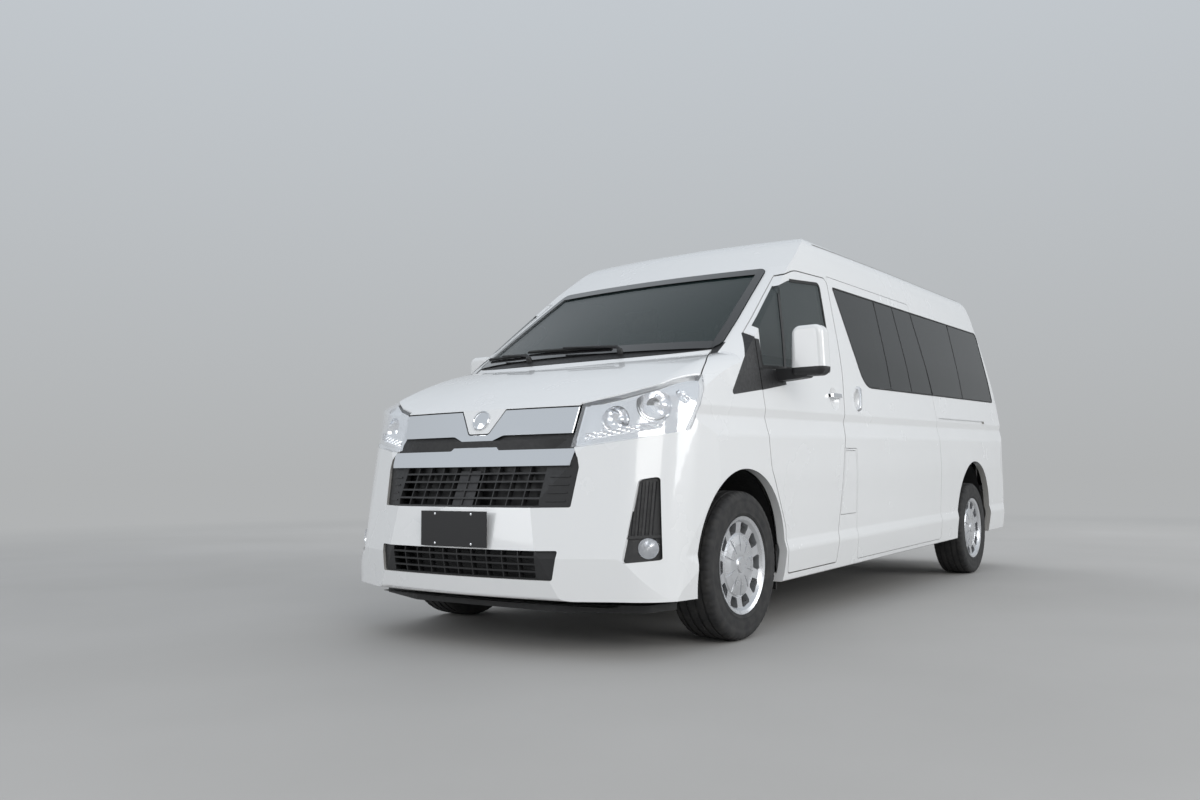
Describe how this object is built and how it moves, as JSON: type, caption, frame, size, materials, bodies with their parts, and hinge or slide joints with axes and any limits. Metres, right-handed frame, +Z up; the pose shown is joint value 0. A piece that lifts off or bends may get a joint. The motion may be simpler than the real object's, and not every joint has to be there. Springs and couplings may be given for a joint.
{
  "type": "minibus",
  "caption": "White high-roof minibus with a short hood, long side glass, a sliding door, hinged front doors, hood, tailgate and fuel flap, steered front wheels and rows of seats.",
  "frame": {"origin": "bottom centre of the bounding box, on the ground under the middle of the bus", "axes": "+Z up, +X to the bus's left, -Y forward: the nose faces -Y"},
  "size_m": [2.3868, 5.9105, 2.2844],
  "materials": {
    "paint": "gloss",
    "black_plastic": "matt",
    "reflector": "satin",
    "mirror_shell": "gloss",
    "trim_grey": "matt",
    "chrome": "polished",
    "lamp_lens": "clear",
    "tail_lens": "gloss",
    "tinted_glass": "tinted",
    "clear_glass": "clear",
    "floor_covering": "matt",
    "chassis_steel": "satin",
    "cast_metal": "rough",
    "exhaust_steel": "dull",
    "tank_plastic": "matt",
    "seat_fabric": "woven",
    "tyre_rubber": "matt",
    "wheel_silver": "satin"
  },
  "bodies": {
    "body": {"side_left": "paint", "side_right": "paint", "roof": "paint", "floor": "floor_covering", "bulkhead": "trim_grey", "cowl_cover": "black_plastic", "front_wings": "paint", "front_bumper": "paint", "lower_grille": "black_plastic", "grille": "black_plastic", "grille_bars": "chrome", "headlamps": "reflector", "headlamp_lenses": "lamp_lens", "fog_lamps": "lamp_lens", "fog_bezels": "black_plastic", "front_valance": "black_plastic", "quarter_trims": "black_plastic", "windscreen": "clear_glass", "slide_handle": "chrome", "side_glass": "tinted_glass", "sliding_door": "paint", "rear_bumper": "paint", "tail_lamps": "tail_lens", "chassis_frame": "chassis_steel", "engine_block": "cast_metal", "exhaust": "exhaust_steel", "fuel_tank": "tank_plastic", "front_suspension": "chassis_steel", "rear_axle": "chassis_steel", "leaf_springs": "chassis_steel", "front_seats": "seat_fabric", "passenger_seats": "seat_fabric", "dashboard": "trim_grey", "steering_wheel": "black_plastic", "mud_flaps": "floor_covering", "wheel_liners": "black_plastic"},
    "fuel_flap": {"fuel_flap": "paint"},
    "hood": {"hood": "paint"},
    "tailgate": {"tailgate_panel": "paint", "tailgate_glass": "tinted_glass"},
    "door_left": {"door_left_panel": "paint", "door_left_glass": "clear_glass", "door_handle_left": "chrome", "mirror_left": "mirror_shell", "mirror_arm_left": "black_plastic"},
    "door_right": {"door_right_panel": "paint", "door_right_glass": "clear_glass", "door_handle_right": "chrome", "mirror_right": "mirror_shell", "mirror_arm_right": "black_plastic"},
    "knuckle_left": {"knuckle_left": "chassis_steel"},
    "knuckle_right": {"knuckle_right": "chassis_steel"},
    "wheel_front_left": {"tyre_front_left": "tyre_rubber", "wheel_front_left": "wheel_silver"},
    "wheel_front_right": {"tyre_front_right": "tyre_rubber", "wheel_front_right": "wheel_silver"},
    "wheel_rear_left": {"tyre_rear_left": "tyre_rubber", "wheel_rear_left": "wheel_silver"},
    "wheel_rear_right": {"tyre_rear_right": "tyre_rubber", "wheel_rear_right": "wheel_silver"}
  },
  "joints": [
    {"name": "steer_left", "type": "hinge", "parent": "body", "child": "knuckle_left", "pos_m": [0.72, -1.9885, 0.35], "axis": [0, 0, 1], "range_deg": [-35, 35]},
    {"name": "steer_right", "type": "hinge", "parent": "body", "child": "knuckle_right", "pos_m": [-0.72, -1.9885, 0.35], "axis": [0, 0, 1], "range_deg": [-35, 35]},
    {"name": "wheel_spin_front_left", "type": "hinge", "parent": "knuckle_left", "child": "wheel_front_left", "pos_m": [0.8375, -1.9885, 0.35], "axis": [1, 0, 0], "continuous": true},
    {"name": "wheel_spin_rear_left", "type": "hinge", "parent": "body", "child": "wheel_rear_left", "pos_m": [0.8375, 1.8715, 0.35], "axis": [1, 0, 0], "continuous": true},
    {"name": "wheel_spin_front_right", "type": "hinge", "parent": "knuckle_right", "child": "wheel_front_right", "pos_m": [-0.8375, -1.9885, 0.35], "axis": [1, 0, 0], "continuous": true},
    {"name": "wheel_spin_rear_right", "type": "hinge", "parent": "body", "child": "wheel_rear_right", "pos_m": [-0.8375, 1.8715, 0.35], "axis": [1, 0, 0], "continuous": true},
    {"name": "door_left_hinge", "type": "hinge", "parent": "body", "child": "door_left", "pos_m": [0.977, -1.73614, 0.90449], "axis": [0, -0.0175, 0.9998], "range_deg": [-68, 0]},
    {"name": "door_right_hinge", "type": "hinge", "parent": "body", "child": "door_right", "pos_m": [-0.977, -1.73614, 0.90449], "axis": [0, -0.0175, 0.9998], "range_deg": [0, 68]},
    {"name": "hood_hinge", "type": "hinge", "parent": "body", "child": "hood", "pos_m": [0, -1.9417, 1.39298], "axis": [-1, 0, 0], "range_deg": [0, 50]},
    {"name": "tailgate_hinge", "type": "hinge", "parent": "body", "child": "tailgate", "pos_m": [0, 2.66997, 2.11157], "axis": [1, 0, 0], "range_deg": [0, 85]},
    {"name": "fuel_flap_hinge", "type": "hinge", "parent": "body", "child": "fuel_flap", "pos_m": [0.9765, -0.61482, 0.72403], "axis": [0, -0.0175, 0.9998], "range_deg": [0, 80]}
  ],
  "couplings": [
    {"joint": "steer_right", "follows": "steer_left", "ratio": 1}
  ]
}
